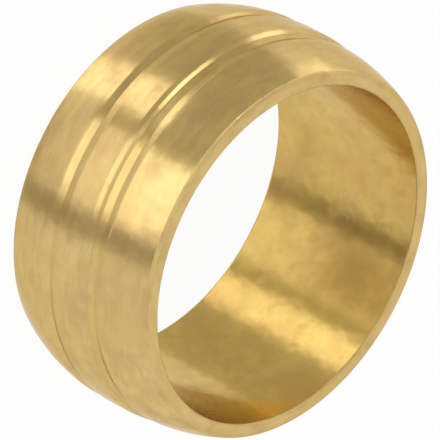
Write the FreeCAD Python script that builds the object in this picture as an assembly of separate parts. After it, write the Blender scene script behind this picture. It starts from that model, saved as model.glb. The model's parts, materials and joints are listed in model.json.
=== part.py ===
import FreeCAD, Part
import math
import os

# Compression olive for 15 mm tube: one brass ring, turned from bar.
# Millimetres. The bore runs along +Z and the lower end face lies on z = 0.

# Bore, a free fit on the tube, with a slight taper that opens towards the upper end
tube_diameter = 15.0
tube_clearance = 0.05  # radial gap between tube and bore
straight_length = 4.0  # of the bore, from the lower end
taper_opening = 0.20  # growth of the bore's radius up to the upper end
bore_mouth_chamfer = 0.05

# Crowned land round the middle
ring_length = 8.4
land_shift = 0.06  # the land is centred this far above mid-length
land_width = 1.52
crown_wall = 1.53  # from the bore to the top of the land
crown_curve = 25.0  # radius of the land's barrel curve

# Domed ends that seat in the nut and in the fitting
dome_curve = 7.6
lower_rim_wall = 0.71  # from the bore to the outer rim of an end face
upper_rim_wall = 0.82
rim_round = 0.30

# Lower groove: a V whose dome side rolls in gently. Drops and depths are below the crown.
lower_land_flank = 0.44
lower_dome_flank = 0.32
lower_groove_depth = 0.135
lower_shoulder_drop = 0.03
lower_lip_round = 0.50
lower_root_round = 0.10
lower_shoulder_round = 0.60

# Upper groove: a steep step down from the land, then a floor that runs out to the dome
upper_step_width = 0.25
upper_step_depth = 0.165
upper_floor_width = 0.40
upper_groove_depth = 0.205
upper_dome_flank = 0.34
upper_shoulder_drop = 0.125
upper_lip_round = 0.60
upper_foot_round = 0.12
upper_root_round = 0.20
upper_shoulder_round = 0.40

bore_radius = tube_diameter / 2 + tube_clearance
crown_radius = bore_radius + crown_wall
land_low = (ring_length - land_width) / 2 + land_shift
land_high = land_low + land_width
section_plane = Part.Plane(FreeCAD.Vector(), FreeCAD.Vector(0, 1, 0))


def rise(curve, half_chord):
    # How far an arc stands above the middle of its chord.
    return curve - math.sqrt(curve**2 - half_chord**2)


def section_corners():
    # Corners of the half section, from the lower bore mouth round the outside to the upper one.
    # Each row is radius, height, rounding and the radius of the arc that leads on. None is sharp or straight.
    upper_bore_radius = bore_radius + taper_opening
    land_edge = crown_radius - rise(crown_curve, land_width / 2)
    lower_root = land_low - lower_land_flank
    upper_foot = land_high + upper_step_width
    upper_root = upper_foot + upper_floor_width
    return [
        (bore_radius, bore_mouth_chamfer, None, None),
        (bore_radius + bore_mouth_chamfer, 0, None, None),
        (bore_radius + lower_rim_wall, 0, rim_round, dome_curve),
        (crown_radius - lower_shoulder_drop, lower_root - lower_dome_flank, lower_shoulder_round, None),
        (crown_radius - lower_groove_depth, lower_root, lower_root_round, None),
        (land_edge, land_low, lower_lip_round, crown_curve),
        (land_edge, land_high, upper_lip_round, None),
        (crown_radius - upper_step_depth, upper_foot, upper_foot_round, None),
        (crown_radius - upper_groove_depth, upper_root, upper_root_round, None),
        (crown_radius - upper_shoulder_drop, upper_root + upper_dome_flank, upper_shoulder_round, dome_curve),
        (bore_radius + upper_rim_wall, ring_length, rim_round, None),
        (upper_bore_radius + bore_mouth_chamfer, ring_length, None, None),
        (upper_bore_radius, ring_length - bore_mouth_chamfer, None, None),
        (bore_radius, straight_length, None, None),
    ]


def place(corner):
    return FreeCAD.Vector(corner[0], 0, corner[1])


def side(corner, following):
    # One side of the section: straight, or an arc that bulges away from the bore.
    start = place(corner)
    end = place(following)
    curve = corner[3]
    if curve is None:
        return Part.LineSegment(start, end).toShape()
    chord = end - start
    outward = FreeCAD.Vector(chord.z, 0, -chord.x).normalize()
    middle = (start + end) / 2 + outward * rise(curve, chord.Length / 2)
    return Part.Arc(start, middle, end).toShape()


def half_section():
    corners = section_corners()
    sides = [side(corner, following) for corner, following in zip(corners, corners[1:] + corners[:1])]
    rounds = []
    for index, corner in enumerate(corners):
        rounding = corner[2]
        if rounding is None:
            continue
        fillet = Part.ChFi2d.FilletAlgo(sides[index - 1], sides[index], section_plane)
        fillet.perform(rounding)
        arc, sides[index - 1], sides[index] = fillet.result(place(corner))
        rounds.append(arc)
    return Part.Face(Part.Wire(Part.sortEdges(sides + rounds)[0]))


os.makedirs("parts", exist_ok=True)
olive = half_section().revolve(FreeCAD.Vector(), FreeCAD.Vector(0, 0, 1), 360)
olive.exportStep("parts/olive.step")
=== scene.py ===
import json
import math

import bpy
import numpy as np
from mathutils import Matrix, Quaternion, Vector


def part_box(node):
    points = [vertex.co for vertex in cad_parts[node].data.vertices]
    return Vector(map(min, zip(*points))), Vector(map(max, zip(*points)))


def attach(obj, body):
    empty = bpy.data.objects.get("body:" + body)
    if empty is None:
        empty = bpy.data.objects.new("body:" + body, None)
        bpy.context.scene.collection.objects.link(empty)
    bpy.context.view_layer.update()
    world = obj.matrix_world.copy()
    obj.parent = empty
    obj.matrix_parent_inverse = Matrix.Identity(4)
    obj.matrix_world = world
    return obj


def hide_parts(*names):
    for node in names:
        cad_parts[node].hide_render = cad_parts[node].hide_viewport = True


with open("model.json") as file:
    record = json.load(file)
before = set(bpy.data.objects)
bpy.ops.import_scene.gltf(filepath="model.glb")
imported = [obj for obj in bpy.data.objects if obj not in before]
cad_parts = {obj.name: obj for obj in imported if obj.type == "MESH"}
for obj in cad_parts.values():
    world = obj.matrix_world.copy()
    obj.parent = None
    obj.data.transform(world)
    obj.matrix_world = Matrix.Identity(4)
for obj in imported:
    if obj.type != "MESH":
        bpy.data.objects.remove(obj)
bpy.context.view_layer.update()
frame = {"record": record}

mm = 0.001
boreMount = next(mount for mount in frame["record"]["mounts"] if mount["name"] == "tube_bore")
boreRadius = boreMount["dims"]["r_mm"] * mm
ringLow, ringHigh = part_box("olive")
ringLength = ringHigh.z - ringLow.z
ringMiddle = Vector((0, 0, ringLength / 2))
print("frame loaded: bore radius", round(boreRadius, 5), "length", round(ringLength, 5))


# Camera, at the photo's angle and turned on its own axis so that the bore points to the lower right
cameraView = {
    "elevation": 38.1,  # degrees above the end face
    "roll": 117.6,  # degrees, anticlockwise
    "distance": 0.50,
    "frameWidth": 18.82 * mm,  # what the picture takes in at the ring's middle
    "middleRight": 0.022 * mm,  # the ring's middle stands this far right of the picture's centre
    "middleUp": 0.013 * mm,
    "sensor": 36.0,
    "clip": (0.01, 10.0),
}
rise = math.radians(cameraView["elevation"])
towardsCamera = Vector((0, -math.cos(rise), math.sin(rise)))


def addCamera(view):
    data = bpy.data.cameras.new("camera")
    data.sensor_width = view["sensor"]
    data.lens = view["sensor"] * view["distance"] / view["frameWidth"]
    data.clip_start, data.clip_end = view["clip"]
    camera = bpy.data.objects.new("camera", data)
    bpy.context.scene.collection.objects.link(camera)
    level = (-towardsCamera).to_track_quat("-Z", "Y")
    turned = level @ Quaternion((0, 0, 1), math.radians(view["roll"]))
    right = turned @ Vector((1, 0, 0))
    up = turned @ Vector((0, 1, 0))
    aim = ringMiddle - right * view["middleRight"] - up * view["middleUp"]
    camera.rotation_mode = "QUATERNION"
    camera.rotation_quaternion = turned
    camera.location = aim + towardsCamera * view["distance"]
    bpy.context.scene.camera = camera


addCamera(cameraView)
print("camera set")


# Ring section, the same sizes as the solid
ringShape = {
    "straightLength": 4.0 * mm,  # of the bore, from the lower end
    "taperOpening": 0.20 * mm,  # growth of the bore's radius up to the upper end
    "taperRound": 20.0 * mm,
    "mouthChamfer": 0.05 * mm,
    "mouthRound": 0.06 * mm,
    "landShift": 0.06 * mm,  # the land is centred this far above mid-length
    "landWidth": 1.52 * mm,
    "crownWall": 1.53 * mm,
    "crownCurve": 25.0 * mm,
    "domeCurve": 7.6 * mm,
    "lowerRimWall": 0.71 * mm,
    "upperRimWall": 0.82 * mm,
    "rimRound": 0.30 * mm,
    "lowerLandFlank": 0.44 * mm,
    "lowerDomeFlank": 0.32 * mm,
    "lowerGrooveDepth": 0.135 * mm,  # drops and depths are below the crown
    "lowerShoulderDrop": 0.03 * mm,
    "lowerLipRound": 0.50 * mm,
    "lowerRootRound": 0.10 * mm,
    "lowerShoulderRound": 0.60 * mm,
    "upperStepWidth": 0.25 * mm,
    "upperStepDepth": 0.165 * mm,
    "upperFloorWidth": 0.40 * mm,
    "upperGrooveDepth": 0.205 * mm,
    "upperDomeFlank": 0.34 * mm,
    "upperShoulderDrop": 0.125 * mm,
    "upperLipRound": 0.60 * mm,
    "upperFootRound": 0.12 * mm,
    "upperRootRound": 0.20 * mm,
    "upperShoulderRound": 0.40 * mm,
    "pointsAround": 256,
    "pointsAlong": 380,
    "sectionSamples": 6000,  # steps in which the section's bend is measured
    "bendWindow": 40,  # steps over which the bend is averaged
    "bendWeight": 0.9,  # how much closer the points stand for each unit of bend
    "bendLimit": 6,
    "edge": (0.8, 4.0),  # bend per mm at which an outward edge starts to count, and the reach to full
    "hollow": (0.5, 3.0),  # the same for an inward bend
    "facing": 0.9,  # how squarely a face has to look along or at the axis to be an end or the bore
}


def sectionCorners(shape):
    # Corners of the half section as radius, height, rounding and curve of the next side (0 is straight).
    upperBore = boreRadius + shape["taperOpening"]
    domeCurve = shape["domeCurve"]
    crown = boreRadius + shape["crownWall"]
    landHalf = shape["landWidth"] / 2
    landEdge = crown - shape["crownCurve"] + math.sqrt(shape["crownCurve"] ** 2 - landHalf ** 2)
    landMiddle = ringLength / 2 + shape["landShift"]
    lowerRoot = landMiddle - landHalf - shape["lowerLandFlank"]
    lowerShoulder = lowerRoot - shape["lowerDomeFlank"]
    upperFoot = landMiddle + landHalf + shape["upperStepWidth"]
    upperRoot = upperFoot + shape["upperFloorWidth"]
    upperShoulder = upperRoot + shape["upperDomeFlank"]
    return np.array([
        (boreRadius, shape["mouthChamfer"], shape["mouthRound"], 0),
        (boreRadius + shape["mouthChamfer"], 0, shape["mouthRound"], 0),
        (boreRadius + shape["lowerRimWall"], 0, shape["rimRound"], domeCurve),
        (crown - shape["lowerShoulderDrop"], lowerShoulder, shape["lowerShoulderRound"], 0),
        (crown - shape["lowerGrooveDepth"], lowerRoot, shape["lowerRootRound"], 0),
        (landEdge, landMiddle - landHalf, shape["lowerLipRound"], shape["crownCurve"]),
        (landEdge, landMiddle + landHalf, shape["upperLipRound"], 0),
        (crown - shape["upperStepDepth"], upperFoot, shape["upperFootRound"], 0),
        (crown - shape["upperGrooveDepth"], upperRoot, shape["upperRootRound"], 0),
        (crown - shape["upperShoulderDrop"], upperShoulder, shape["upperShoulderRound"], domeCurve),
        (boreRadius + shape["upperRimWall"], ringLength, shape["rimRound"], 0),
        (upperBore + shape["mouthChamfer"], ringLength, shape["mouthRound"], 0),
        (upperBore, ringLength - shape["mouthChamfer"], shape["mouthRound"], 0),
        (boreRadius, shape["straightLength"], shape["taperRound"], 0),
    ])


def sidePoint(start, end, curve, share):
    # Point and direction at a share of one side: the chord plus the height of a circle's arc above it.
    chord = end - start
    length = np.linalg.norm(chord)
    along = chord / length
    outward = np.array([along[1], -along[0]])
    offset = (np.atleast_1d(share)[:, None] - 0.5) * length
    point = start + chord * np.atleast_1d(share)[:, None]
    direction = np.repeat(along[None, :], len(point), axis=0)
    if curve > 0:
        height = np.sqrt(curve ** 2 - offset ** 2)
        point = point + outward * (height - math.sqrt(curve ** 2 - length ** 2 / 4))
        direction = direction - outward * offset / height
        direction = direction / np.linalg.norm(direction, axis=1)[:, None]
    return point, direction


def roundedSection(corners, perSide=80, perRound=24):
    # Each side is cut back by rounding x tan(half the turn).
    # A parabola tangent to both cut ends joins them.
    places = corners[:, :2]
    following = np.roll(places, -1, axis=0)
    lengths = np.linalg.norm(following - places, axis=1)
    count = len(corners)
    starts = np.zeros(count)
    ends = np.ones(count)
    for index in range(count):
        before = index - 1
        _, arriving = sidePoint(places[before], places[index], corners[before, 3], 1.0)
        _, leaving = sidePoint(places[index], following[index], corners[index, 3], 0.0)
        turn = math.acos(np.clip(np.sum(arriving * leaving), -1, 1))
        cut = corners[index, 2] * math.tan(turn / 2)
        ends[before] = 1 - cut / lengths[before]
        starts[index] = cut / lengths[index]
    runs = []
    for index in range(count):
        shares = np.linspace(starts[index], ends[index], perSide)
        run, direction = sidePoint(places[index], following[index], corners[index, 3], shares)
        after = (index + 1) % count
        landing, landingWay = sidePoint(places[after], following[after], corners[after, 3], starts[after])
        steps = np.linalg.solve(np.stack([direction[-1], landingWay[0]], axis=1), landing[0] - run[-1])
        elbow = run[-1] + direction[-1] * steps[0]
        share = np.linspace(0, 1, perRound + 2)[1:-1, None]
        join = (1 - share) ** 2 * run[-1] + 2 * share * (1 - share) * elbow + share ** 2 * landing[0]
        runs += [run, join]
    return np.concatenate(runs)


def spreadAlong(section, shape):
    # The closed section sampled again, with points closest together where it bends most.
    samples = shape["sectionSamples"]
    window = shape["bendWindow"]
    closed = np.concatenate([section, section[:1]])
    steps = np.linalg.norm(np.diff(closed, axis=0), axis=1)
    distance = np.concatenate([[0], np.cumsum(steps)])
    even = np.linspace(0, distance[-1], samples, endpoint=False)
    line = np.stack([np.interp(even, distance, closed[:, axis]) for axis in (0, 1)], axis=1)
    ahead = np.roll(line, -1, axis=0) - line
    heading = np.unwrap(np.arctan2(ahead[:, 1], ahead[:, 0]))
    bend = np.gradient(heading) / (even[1] - even[0])
    wrapped = np.concatenate([bend[-window:], bend, bend[:window]])
    weights = np.hanning(window + 1) / (window / 2)
    bend = np.convolve(wrapped, weights, mode="same")[window:-window]
    density = np.cumsum(1 + shape["bendWeight"] * np.minimum(np.abs(bend) * mm, shape["bendLimit"]))
    whole = np.arange(samples)
    shares = np.linspace(density[0], density[-1], shape["pointsAlong"], endpoint=False)
    picks = np.interp(shares, density, whole)
    radius = np.interp(picks, whole, line[:, 0])
    height = np.interp(picks, whole, line[:, 1])
    return radius, height, np.interp(picks, whole, bend) * mm


def meshFromGrid(name, points, closedRows, closedColumns):
    # Quads between neighbouring rows and columns of a grid of points, joined up in a closed direction.
    rows, columns = points.shape[:2]
    row = np.arange(rows if closedRows else rows - 1)[:, None]
    column = np.arange(columns if closedColumns else columns - 1)[None, :]
    nextRow = (row + 1) % rows
    nextColumn = (column + 1) % columns
    quads = np.stack([
        row * columns + column,
        row * columns + nextColumn,
        nextRow * columns + nextColumn,
        nextRow * columns + column,
    ], axis=-1).reshape(-1, 4)
    mesh = bpy.data.meshes.new(name)
    mesh.from_pydata(points.reshape(-1, 3).tolist(), [], quads.tolist())
    mesh.polygons.foreach_set("use_smooth", np.ones(len(quads), dtype=bool))
    gridUv = mesh.uv_layers.new(name="grid")
    acrossRow = np.broadcast_to(row / rows, (row.size, column.size))
    acrossColumn = np.broadcast_to(column / columns, (row.size, column.size))
    uv = np.stack([
        np.stack([acrossRow, acrossColumn], axis=-1),
        np.stack([acrossRow, acrossColumn + 1 / columns], axis=-1),
        np.stack([acrossRow + 1 / rows, acrossColumn + 1 / columns], axis=-1),
        np.stack([acrossRow + 1 / rows, acrossColumn], axis=-1),
    ], axis=2)
    gridUv.data.foreach_set("uv", uv.ravel())
    piece = bpy.data.objects.new(name, mesh)
    bpy.context.scene.collection.objects.link(piece)
    return piece


def addAttribute(piece, name, values):
    attribute = piece.data.attributes.new(name, "FLOAT", "POINT")
    attribute.data.foreach_set("value", values.ravel().astype(np.float32))


def makeRing(shape):
    # The rounded section carried round the bore's axis:
    # x = radius sin(turn), y = radius cos(turn), z = height.
    section = roundedSection(sectionCorners(shape))
    radius, height, bend = spreadAlong(section, shape)
    turn = np.linspace(0, 2 * math.pi, shape["pointsAround"], endpoint=False)[:, None]
    points = np.stack([
        radius * np.sin(turn),
        radius * np.cos(turn),
        np.broadcast_to(height, (turn.size, height.size)),
    ], axis=-1)
    ring = meshFromGrid("oliveRing", points, True, True)
    around = np.ones_like(turn)
    for name, bent in (("edge", bend), ("hollow", -bend)):
        start, reach = shape[name]
        addAttribute(ring, name, around * np.clip((bent - start) / reach, 0, 1))
    normals = np.zeros(len(ring.data.polygons) * 3)
    centres = np.zeros(len(ring.data.polygons) * 3)
    ring.data.polygons.foreach_get("normal", normals)
    ring.data.polygons.foreach_get("center", centres)
    normals = normals.reshape(-1, 3)
    centres = centres.reshape(-1, 3)
    outward = np.sum(normals[:, :2] * centres[:, :2], axis=1) / np.linalg.norm(centres[:, :2], axis=1)
    # The numbers are places in brassFinishes: turned, faced and bored.
    bored = outward < -shape["facing"]
    faced = np.abs(normals[:, 2]) > shape["facing"]
    finish = np.where(bored, 2, np.where(faced, 1, 0))
    ring.data.polygons.foreach_set("material_index", finish.astype(np.int32))
    print("ring made:", len(ring.data.polygons), "quads")
    return ring


ring = makeRing(ringShape)


# Node helpers
def feed(tree, socket, value):
    # A socket is linked, and anything else is set as this socket's own value.
    if isinstance(value, bpy.types.NodeSocket):
        tree.links.new(value, socket)
    else:
        socket.default_value = value


def mathOf(tree, operation, *values):
    node = tree.nodes.new("ShaderNodeMath")
    node.operation = operation
    for socket, value in zip(node.inputs, values):
        feed(tree, socket, value)
    return node.outputs[0]


def vectorOf(tree, operation, *values, output="Vector"):
    node = tree.nodes.new("ShaderNodeVectorMath")
    node.operation = operation
    for socket, value in zip(node.inputs, values):
        feed(tree, socket, value)
    return node.outputs[output]


def spread(tree, value, low, high, toLow=0.0, toHigh=1.0):
    node = tree.nodes.new("ShaderNodeMapRange")
    node.interpolation_type = "SMOOTHSTEP"
    settings = {"Value": value, "From Min": low, "From Max": high, "To Min": toLow, "To Max": toHigh}
    for name, setting in settings.items():
        feed(tree, node.inputs[name], setting)
    return node.outputs["Result"]


def noiseAt(tree, vector, scale, detail, roughness=0.5):
    node = tree.nodes.new("ShaderNodeTexNoise")
    settings = {"Vector": vector, "Scale": scale, "Detail": detail, "Roughness": roughness}
    for name, setting in settings.items():
        feed(tree, node.inputs[name], setting)
    return node.outputs["Fac"]


def blendColour(tree, mask, under, over):
    node = tree.nodes.new("ShaderNodeMix")
    node.data_type = "RGBA"
    # Sockets 6 and 7 are this node's colours, and output 2 is their blend.
    feed(tree, node.inputs[0], mask)
    feed(tree, node.inputs[6], under)
    feed(tree, node.inputs[7], over)
    return node.outputs[2]


def newGroup(name, inputs, outputs):
    group = bpy.data.node_groups.new(name, "ShaderNodeTree")
    for label, value in inputs.items():
        socket = group.interface.new_socket(label, in_out="INPUT", socket_type="NodeSocketFloat")
        socket.default_value = value
    for label in outputs:
        group.interface.new_socket(label, in_out="OUTPUT", socket_type="NodeSocketFloat")
    return group, group.nodes.new("NodeGroupInput").outputs, group.nodes.new("NodeGroupOutput").inputs


def addGroup(tree, group, values):
    node = tree.nodes.new("ShaderNodeGroup")
    node.node_tree = group
    for label, value in values.items():
        feed(tree, node.inputs[label], value)
    return node.outputs


def millimetres(tree):
    coordinates = tree.nodes.new("ShaderNodeTexCoord").outputs["Object"]
    return vectorOf(tree, "MULTIPLY", coordinates, (1 / mm, 1 / mm, 1 / mm))


# Proportions of the marks on the brass. A range turns noise, or bend, into a mask.
brassMarks = {
    "streakAround": 3.0,  # how much shorter than the fine lines round the ring
    "streakLines": 0.45,  # how many for each fine line
    "streakRange": (0.60, 0.74),
    "brushAround": 4.0,
    "brushLines": 0.22,
    "brushRange": (0.36, 0.66),
    "cloudRange": (0.3, 0.7),
    "blotchFiner": 3.1,  # how much smaller than the clouds
    "blotchRange": (0.46, 0.82),
    "wearRange": (0.3, 0.65),
    "leastWear": 0.45,  # share of the wear that is left where it is most broken up
    # share of the darker colour in the groove roots: partly dirt, partly painted shade
    "rootDirtAndShadeShare": 0.6,
    "rubbedShare": 0.08,
    "hazeRange": (0.22, 0.40),
    "haze": 0.25,  # roughness added on the round of the rims
}


def makeTurningLines():
    # Noise on the direction from the axis and on the place across the cut, stretched round the ring.
    # Across Face is 0 where the tool travelled along the axis and 1 where it travelled over an end face.
    group, given, out = newGroup(
        "turningLines", {"Lines": 9.0, "Around": 2.0, "Across Face": 0.0}, ["Height", "Streak", "Brush"])
    place = millimetres(group)
    flat = vectorOf(group, "MULTIPLY", place, (1, 1, 0))
    radius = vectorOf(group, "LENGTH", flat, output="Value")
    way = vectorOf(group, "NORMALIZE", flat)
    height = group.nodes.new("ShaderNodeSeparateXYZ")
    feed(group, height.inputs[0], place)
    crossing = mathOf(group, "SUBTRACT", radius, height.outputs["Z"])
    crossing = mathOf(group, "MULTIPLY_ADD", crossing, given["Across Face"], height.outputs["Z"])

    def stretched(around, lines):
        node = group.nodes.new("ShaderNodeCombineXYZ")
        feed(group, node.inputs["Z"], mathOf(group, "MULTIPLY", crossing, lines))
        scaled = group.nodes.new("ShaderNodeVectorMath")
        scaled.operation = "SCALE"
        feed(group, scaled.inputs[0], way)
        feed(group, scaled.inputs["Scale"], around)
        return vectorOf(group, "ADD", scaled.outputs[0], node.outputs[0])

    fine = noiseAt(group, stretched(given["Around"], given["Lines"]), 1.0, 3.0, 0.6)
    shortWays = mathOf(group, "MULTIPLY", given["Around"], brassMarks["streakAround"])
    fewLines = mathOf(group, "MULTIPLY", given["Lines"], brassMarks["streakLines"])
    streak = noiseAt(group, stretched(shortWays, fewLines), 1.0, 2.0)
    broadLines = mathOf(group, "MULTIPLY", given["Lines"], brassMarks["brushLines"])
    brokenWays = mathOf(group, "MULTIPLY", given["Around"], brassMarks["brushAround"])
    brush = noiseAt(group, stretched(brokenWays, broadLines), 1.0, 3.0, 0.6)
    feed(group, out["Height"], fine)
    feed(group, out["Brush"], spread(group, brush, *brassMarks["brushRange"]))
    feed(group, out["Streak"], spread(group, streak, *brassMarks["streakRange"]))
    return group


def makeSatinCloud():
    # Noises on the place in millimetres:
    # wide soft clouds, smaller blotches where the brass has dulled, and waviness.
    group, given, out = newGroup(
        "satinCloud", {"Size": 3.0, "Wave Size": 0.8}, ["Cloud", "Blotch", "Wave"])
    place = millimetres(group)
    scale = mathOf(group, "DIVIDE", 1.0, given["Size"])
    wide = noiseAt(group, place, scale, 2.0)
    feed(group, out["Cloud"], spread(group, wide, *brassMarks["cloudRange"]))
    finer = mathOf(group, "MULTIPLY", scale, brassMarks["blotchFiner"])
    small = noiseAt(group, place, finer, 2.0)
    feed(group, out["Blotch"], spread(group, small, *brassMarks["blotchRange"]))
    waveScale = mathOf(group, "DIVIDE", 1.0, given["Wave Size"])
    feed(group, out["Wave"], noiseAt(group, place, waveScale, 1.5))
    return group


def makeWearAndRootShade():
    # The ring's own bend: rubbed bright where it bends outwards, and darker where it bends in, which is
    # partly dirt and partly painted shade of the groove roots.
    # Noise breaks up both.
    group, given, out = newGroup("wearAndRootShade", {"Breakup": 1.6}, ["Rubbed", "Root Dirt And Shade"])
    noise = noiseAt(group, millimetres(group), given["Breakup"], 3.0)
    broken = spread(group, noise, *brassMarks["wearRange"], brassMarks["leastWear"], 1.0)
    for label, name in (("Rubbed", "edge"), ("Root Dirt And Shade", "hollow")):
        bend = group.nodes.new("ShaderNodeAttribute")
        bend.attribute_name = name
        feed(group, out[label], mathOf(group, "MULTIPLY", bend.outputs["Fac"], broken))
    return group


turningLines = makeTurningLines()
satinCloud = makeSatinCloud()
wearAndRootShade = makeWearAndRootShade()

brassFinishes = {
    "turnedBrass": {
        "colour": (0.68, 0.505, 0.203, 1),
        "grazeColour": (0.84, 0.76, 0.58, 1),  # tint of what the metal mirrors at a flat angle
        "cloudColour": (0.625, 0.445, 0.17, 1),
        "blotchColour": (0.535, 0.36, 0.148, 1),
        # darker colour for where the ring bends in: partly dirt, partly painted shade of the groove roots
        "rootDirtAndShadeColour": (0.56, 0.38, 0.095, 1),
        "rubbedColour": (0.72, 0.55, 0.28, 1),
        "roughness": (0.19, 0.26),
        "lines": 9.0,
        "blotchShare": 0.9,
        "brushShare": 0.55,
        "streakShare": 0.25,
        "around": 1.6,
        "acrossFace": 0.0,
        "lineDepth": 0.0011 * mm,
        "waveDepth": 0.010 * mm,
        "lean": 0.0,
        "cloudSize": 3.5,
    },
    "facedBrass": {
        "colour": (0.68, 0.505, 0.203, 1),
        "grazeColour": (0.84, 0.76, 0.58, 1),
        "cloudColour": (0.625, 0.445, 0.17, 1),
        "blotchColour": (0.535, 0.36, 0.148, 1),
        # darker colour for where the ring bends in: partly dirt, partly painted shade
        "rootDirtAndShadeColour": (0.56, 0.38, 0.095, 1),
        "rubbedColour": (0.72, 0.55, 0.28, 1),
        "roughness": (0.20, 0.27),
        "lines": 14.0,
        "blotchShare": 0.9,
        "brushShare": 0.4,
        "streakShare": 0.15,
        "around": 1.2,
        "acrossFace": 1.0,
        "lineDepth": 0.0008 * mm,
        "waveDepth": 0.006 * mm,
        "lean": 0.0,
        "cloudSize": 2.5,
    },
    "boredBrass": {
        "colour": (0.65, 0.458, 0.132, 1),
        "grazeColour": (1.0, 0.97, 0.86, 1),
        "cloudColour": (0.58, 0.39, 0.12, 1),
        "blotchColour": (0.54, 0.35, 0.10, 1),
        # darker colour for where the ring bends in: partly dirt, partly painted shade
        "rootDirtAndShadeColour": (0.56, 0.38, 0.095, 1),
        "rubbedColour": (0.72, 0.55, 0.28, 1),
        "roughness": (0.20, 0.28),
        "lines": 6.0,
        "blotchShare": 0.5,
        "brushShare": 0.5,
        "streakShare": 0.05,
        "around": 3.0,
        "acrossFace": 0.0,
        "lineDepth": 0.0008 * mm,
        "waveDepth": 0.013 * mm,
        "lean": 0.045 * mm,  # for each mm along the tapered half
        "leanEase": 0.55,  # mm over which the lean sets in
        "cloudSize": 2.2,
    },
}


def makeBrass(name, look):
    material = bpy.data.materials.new(name)
    material.use_nodes = True
    tree = material.node_tree
    shader = tree.nodes["Principled BSDF"]
    shader.inputs["Metallic"].default_value = 1.0
    shader.inputs["Specular Tint"].default_value = look["grazeColour"]
    lines = addGroup(tree, turningLines, {
        "Lines": look["lines"], "Around": look["around"], "Across Face": look["acrossFace"]})
    cloud = addGroup(tree, satinCloud, {"Size": look["cloudSize"]})
    wornAndShaded = addGroup(tree, wearAndRootShade, {})
    colour = blendColour(tree, cloud["Cloud"], look["colour"], look["cloudColour"])
    layers = [
        (cloud["Blotch"], look["blotchShare"], look["blotchColour"]),
        (lines["Brush"], look["brushShare"], look["blotchColour"]),
        (lines["Streak"], look["streakShare"], look["rubbedColour"]),
        # Painted shade with some dirt: a darker colour where the ring bends in, at the groove roots.
        (wornAndShaded["Root Dirt And Shade"], brassMarks["rootDirtAndShadeShare"], look["rootDirtAndShadeColour"]),
        (wornAndShaded["Rubbed"], brassMarks["rubbedShare"], look["rubbedColour"]),
    ]
    for mask, share, over in layers:
        colour = blendColour(tree, mathOf(tree, "MULTIPLY", mask, share), colour, over)
    feed(tree, shader.inputs["Base Color"], colour)
    smooth, dull = look["roughness"]
    roughness = spread(tree, cloud["Blotch"], 0.0, 1.0, smooth, dull)
    haze = spread(tree, wornAndShaded["Rubbed"], *brassMarks["hazeRange"], 0.0, brassMarks["haze"])
    feed(tree, shader.inputs["Roughness"], mathOf(tree, "ADD", haze, roughness))
    bump = tree.nodes.new("ShaderNodeBump")
    bump.inputs["Distance"].default_value = look["lineDepth"]
    feed(tree, bump.inputs["Height"], lines["Height"])
    wave = tree.nodes.new("ShaderNodeBump")
    wave.inputs["Distance"].default_value = look["waveDepth"]
    feed(tree, wave.inputs["Height"], cloud["Wave"])
    feed(tree, bump.inputs["Normal"], wave.outputs["Normal"])
    if look["lean"] > 0:
        # Height that grows along the bore's tapered half, so that it mirrors much as the straight half.
        up = tree.nodes.new("ShaderNodeSeparateXYZ")
        feed(tree, up.inputs[0], millimetres(tree))
        lean = tree.nodes.new("ShaderNodeBump")
        lean.inputs["Distance"].default_value = look["lean"]
        taperStart = ringShape["straightLength"] / mm
        grown = mathOf(tree, "SMOOTH_MAX", up.outputs["Z"], taperStart, look["leanEase"])
        feed(tree, lean.inputs["Height"], grown)
        feed(tree, wave.inputs["Normal"], lean.outputs["Normal"])
    feed(tree, shader.inputs["Normal"], bump.outputs["Normal"])
    return material


for name, look in brassFinishes.items():
    ring.data.materials.append(makeBrass(name, look))
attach(ring, "root")
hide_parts("olive")
print("brass finishes on the ring")


# Studio: pale floor, white surround, and cards that the brass mirrors
white = (1, 1, 1, 1)
studio = {
    "floorSize": 4.0,
    "floorColour": (0.92, 0.92, 0.92, 1),
    "floorRoughness": 0.9,
    "floorWhite": 0.94,  # share of the floor that shows as plain white, so the shadow stays faint
    "cardDistance": 0.60,
    "cardGap": 0.004,  # each card stands this much nearer than the one before
    "cardPoints": 28,
    "cardEdge": 0.965,  # where the last row of a card's grid lies
    "shadeHeight": -1.5 * mm,
    "shadeGap": 0.1 * mm,
    "shadePoints": 40,
    "surroundLevel": 1.0,
}

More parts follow.
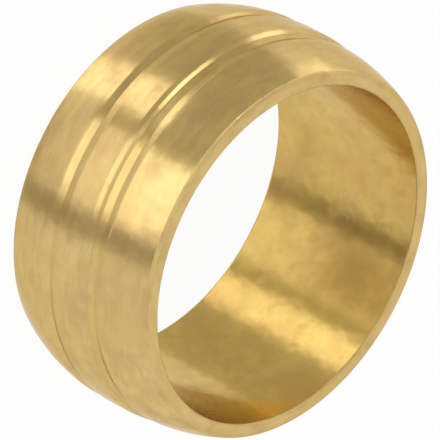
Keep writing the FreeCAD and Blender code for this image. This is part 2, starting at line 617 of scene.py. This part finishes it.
# A card is given by where the photo's view of the ring mirrors it:
# degrees round the ring and tilt of the wall.
cards = [
    {"name": "edgeFlag", "around": (157.0, 166.5), "tilt": (-30, 40), "feather": (0.22, 0.1),
     "level": 0.48, "colour": (1.0, 0.95, 0.84, 1)},
    {"name": "frontGlow", "around": (164.6, 190.6), "tilt": (-8, 5), "feather": (0.14, 0.2),
     "level": 1.28, "colour": white},
    {"name": "frontStrip", "around": (164.6, 190.6), "tilt": (2.4, 27), "feather": (0.14, 0.07),
     "level": 1.84, "colour": white},
    {"name": "frontShade", "around": (164.0, 191.0), "tilt": (-46, -13), "feather": (0.14, 0.48),
     "level": 0.70, "colour": (1.0, 0.97, 0.88, 1)},
    {"name": "slimFlag", "around": (187.3, 195.6), "tilt": (-10, 27), "feather": (0.3, 0.15),
     "level": 0.58, "colour": (1.0, 0.95, 0.72, 1)},
    {"name": "upperFlag", "around": (192.0, 236.0), "tilt": (-9, 60), "feather": (0.06, 0.1),
     "level": 0.61, "colour": (1.0, 0.98, 0.86, 1)},
    {"name": "lowFlag", "around": (205.5, 236.0), "tilt": (-26, 5), "feather": (0.08, 0.42),
     "level": 0.72, "colour": (1.0, 0.97, 0.85, 1)},
    {"name": "lowStrip", "around": (193.6, 207.4), "tilt": (-30, 5.4), "feather": (0.16, 0.07),
     "level": 1.84, "colour": white},
    {"name": "highStrip", "around": (198.0, 221.0), "tilt": (26, 35), "feather": (0.15, 0.15),
     "level": 2.5, "colour": white},
    {"name": "sideStrip", "around": (234.0, 249.0), "tilt": (14.5, 40), "feather": (0.2, 0.2),
     "level": 1.62, "colour": white},
    {"name": "sideHighStrip", "around": (234.0, 249.0), "tilt": (23, 42), "feather": (0.2, 0.2),
     "level": 2.2, "colour": white},
]

# Small cards close under the ring, which hardly anything but the bore mirrors.
# Each is given by degrees round the bore and by height.
boreShades = [
    {"name": "boreShade", "around": (-15.0, 9.0), "heights": (3.0 * mm, 11.2 * mm),
     "feather": (0.2, 0.36), "level": 0.54, "colour": (1.0, 0.90, 0.66, 1)},
    {"name": "boreEdge", "around": (-22.4, -14.0), "heights": (0.3 * mm, 9.2 * mm),
     "feather": (0.2, 0.06), "level": 0.27, "colour": (1.0, 0.86, 0.6, 1)},
]


def mirrorCamera(wall):
    # The camera's direction mirrored by walls: twice its part along a wall's normal, less itself.
    view = np.array(towardsCamera)
    return 2 * np.sum(wall * view, axis=-1, keepdims=True) * wall - view


def mirrorGrid(card, distance):
    # Mirrored directions of walls turned and tilted through the card's ranges, carried out to a distance.
    turn = np.radians(np.linspace(*card["around"], studio["cardPoints"]))[:, None]
    tilt = np.radians(np.linspace(*card["tilt"], studio["cardPoints"]))[None, :]
    wall = np.stack([
        np.sin(turn) * np.cos(tilt),
        np.cos(turn) * np.cos(tilt),
        np.sin(tilt) + 0 * turn,
    ], axis=-1)
    return np.array(ringMiddle) + mirrorCamera(wall) * distance


def makeCardLight(card):
    # Plain emission that fades out towards the card's edges.
    material = bpy.data.materials.new(card["name"])
    material.use_nodes = True
    tree = material.node_tree
    tree.nodes.remove(tree.nodes["Principled BSDF"])
    place = tree.nodes.new("ShaderNodeSeparateXYZ")
    uv = tree.nodes.new("ShaderNodeUVMap")
    uv.uv_map = "grid"
    feed(tree, place.inputs[0], uv.outputs["UV"])
    masks = []
    edge = studio["cardEdge"]
    for axis, feather in zip("XY", card["feather"]):
        near = spread(tree, place.outputs[axis], 0.0, feather)
        far = spread(tree, place.outputs[axis], edge - feather, edge, 1.0, 0.0)
        masks += [near, far]
    mask = masks[0]
    for more in masks[1:]:
        mask = mathOf(tree, "MULTIPLY", mask, more)
    glow = tree.nodes.new("ShaderNodeEmission")
    glow.inputs["Color"].default_value = card["colour"]
    glow.inputs["Strength"].default_value = card["level"]
    mixed = tree.nodes.new("ShaderNodeMixShader")
    feed(tree, mixed.inputs[0], mask)
    feed(tree, mixed.inputs[1], tree.nodes.new("ShaderNodeBsdfTransparent").outputs[0])
    feed(tree, mixed.inputs[2], glow.outputs[0])
    feed(tree, tree.nodes["Material Output"].inputs["Surface"], mixed.outputs[0])
    return material


def keepAsLight(piece, card):
    # Only reflections in the brass show a card.
    piece.data.materials.append(makeCardLight(card))
    piece.visible_camera = False
    piece.visible_diffuse = False
    piece.visible_shadow = False


def addCards():
    for index, card in enumerate(cards):
        distance = studio["cardDistance"] - index * studio["cardGap"]
        keepAsLight(meshFromGrid(card["name"], mirrorGrid(card, distance), False, False), card)


def addBoreShades():
    # The mirrored camera direction from each place on the bore's wall, carried down to the shades' height.
    for index, shade in enumerate(boreShades):
        turn = np.radians(np.linspace(*shade["around"], studio["cardPoints"]))[:, None]
        height = np.linspace(*shade["heights"], studio["shadePoints"])[None, :]
        wall = np.stack([
            -np.sin(turn) + 0 * height,
            -np.cos(turn) + 0 * height,
            0 * (turn + height),
        ], axis=-1)
        mirrored = mirrorCamera(wall)
        start = np.stack([
            boreRadius * np.sin(turn) + 0 * height,
            boreRadius * np.cos(turn) + 0 * height,
            height + 0 * turn,
        ], axis=-1)
        level = studio["shadeHeight"] + index * studio["shadeGap"]
        points = start + mirrored * ((level - start[..., 2:]) / mirrored[..., 2:])
        keepAsLight(meshFromGrid(shade["name"], points, False, False), shade)


def addFloor():
    # White by its own share where it is seen, and a plain pale surface that takes the shadow by the rest.
    # Reflections pass through it to the surround, which is as white, and to the shades under the ring.
    half = studio["floorSize"] / 2
    corner = np.linspace(-half, half, 2)
    points = np.stack([
        np.broadcast_to(corner[:, None], (2, 2)),
        np.broadcast_to(corner[None, :], (2, 2)),
        np.zeros((2, 2)),
    ], axis=-1)
    floor = meshFromGrid("floor", points, False, False)
    material = bpy.data.materials.new("paleFloor")
    material.use_nodes = True
    tree = material.node_tree
    shader = tree.nodes["Principled BSDF"]
    shader.inputs["Base Color"].default_value = studio["floorColour"]
    shader.inputs["Roughness"].default_value = studio["floorRoughness"]
    shader.inputs["Specular IOR Level"].default_value = 0.0
    light = tree.nodes.new("ShaderNodeLightPath").outputs
    seen = mathOf(tree, "MAXIMUM", light["Is Camera Ray"], light["Is Glossy Ray"])
    seen = mathOf(tree, "MAXIMUM", seen, light["Is Transmission Ray"])
    glow = tree.nodes.new("ShaderNodeEmission")
    mixed = tree.nodes.new("ShaderNodeMixShader")
    feed(tree, mixed.inputs[0], mathOf(tree, "MULTIPLY", seen, studio["floorWhite"]))
    feed(tree, mixed.inputs[1], shader.outputs[0])
    feed(tree, mixed.inputs[2], glow.outputs[0])
    feed(tree, tree.nodes["Material Output"].inputs["Surface"], mixed.outputs[0])
    floor.data.materials.append(material)
    floor.visible_glossy = False
    floor.visible_shadow = False


def addSurround():
    world = bpy.data.worlds.new("surround")
    world.use_nodes = True
    background = world.node_tree.nodes["Background"]
    background.inputs["Color"].default_value = white
    background.inputs["Strength"].default_value = studio["surroundLevel"]
    bpy.context.scene.world = world
    bpy.context.scene.view_settings.view_transform = "Standard"


addCards()
addBoreShades()
addFloor()
addSurround()
print("studio set:", len(cards), "cards and", len(boreShades), "shades under the ring")
